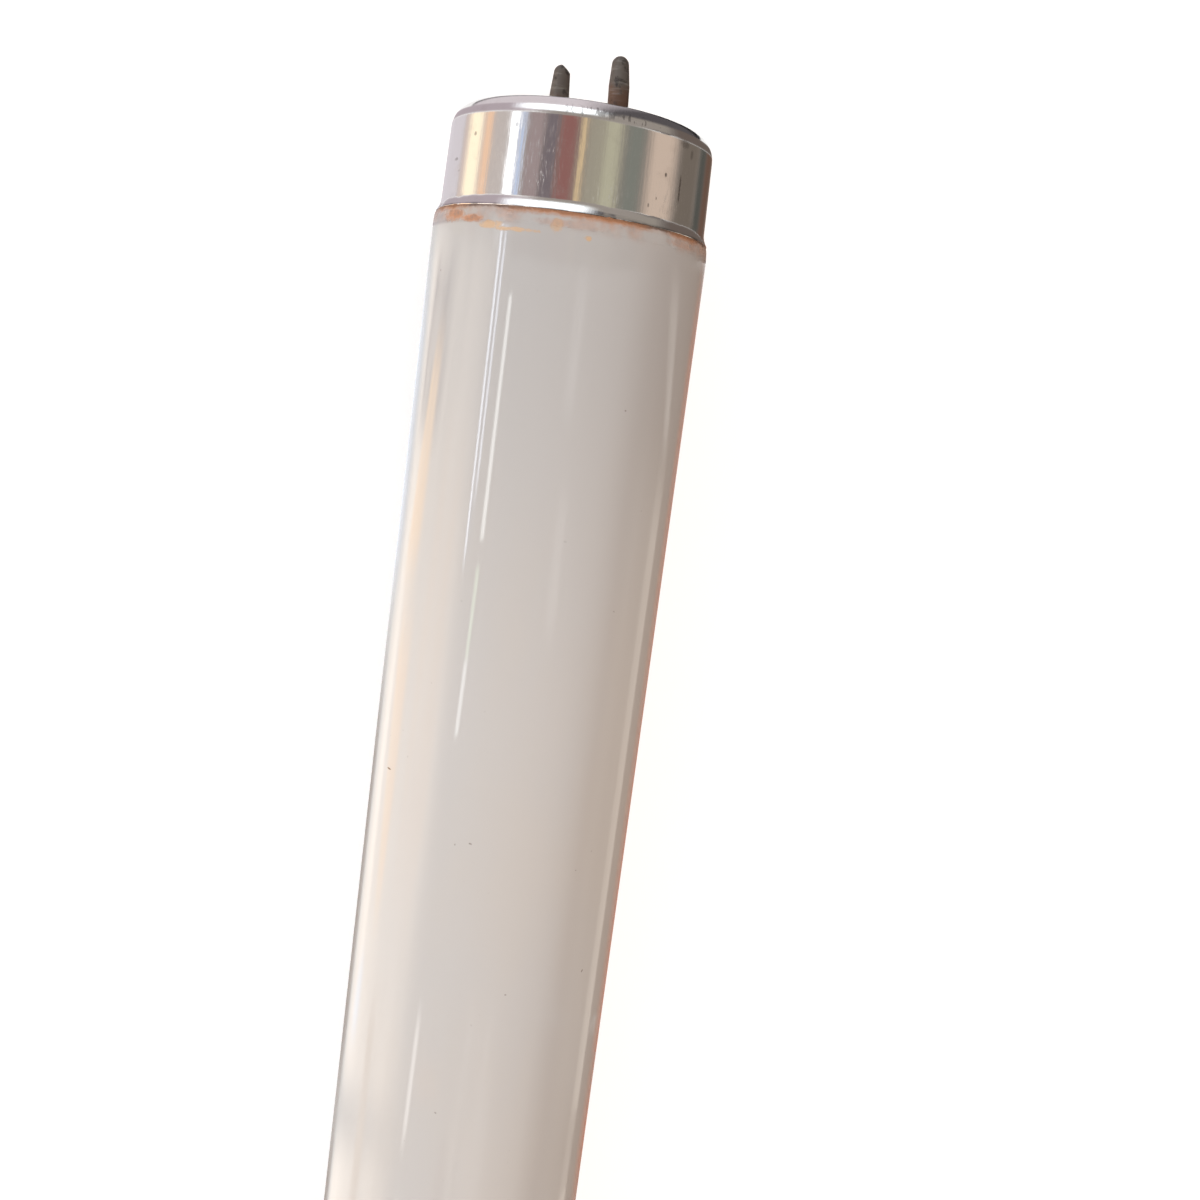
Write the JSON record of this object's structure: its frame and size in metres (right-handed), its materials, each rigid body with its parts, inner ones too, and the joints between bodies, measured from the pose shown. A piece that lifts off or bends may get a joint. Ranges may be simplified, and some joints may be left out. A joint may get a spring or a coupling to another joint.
{
  "type": "fluorescent tube",
  "caption": "Straight glass fluorescent tube with an aluminium cap and a pair of contact pins at each end, for a tubular lamp holder.",
  "frame": {"origin": "on the tube's axis, midway between the two ends", "axes": "X along the tube, with the worn end that has the bent pin (end A) at -X; the two pins of each end stand in a row along Z"},
  "size_m": [0.6452, 0.0324, 0.0324],
  "materials": {
    "coated_glass": "clear gloss glass over an opaque off-white powder coating",
    "cap_aluminium": "polished, finely scratched",
    "cement": "basing cement, rust-stained at the rim",
    "phenolic": "brown moulded phenolic",
    "pin_brass": "dark oxidised",
    "lead_wire": "drawn wire"
  },
  "bodies": {
    "root": {"glass_tube": "coated_glass", "end_cap_a": "cap_aluminium", "end_cap_b": "cap_aluminium", "cement_ring_a": "cement", "cement_ring_b": "cement", "insulator_plate_a": "phenolic", "insulator_plate_b": "phenolic", "contact_pin_a1": "pin_brass", "contact_pin_a2": "pin_brass", "contact_pin_b1": "pin_brass", "contact_pin_b2": "pin_brass", "lead_wire_a1": "lead_wire", "lead_wire_a2": "lead_wire", "lead_wire_b1": "lead_wire", "lead_wire_b2": "lead_wire"}
  },
  "joints": []
}
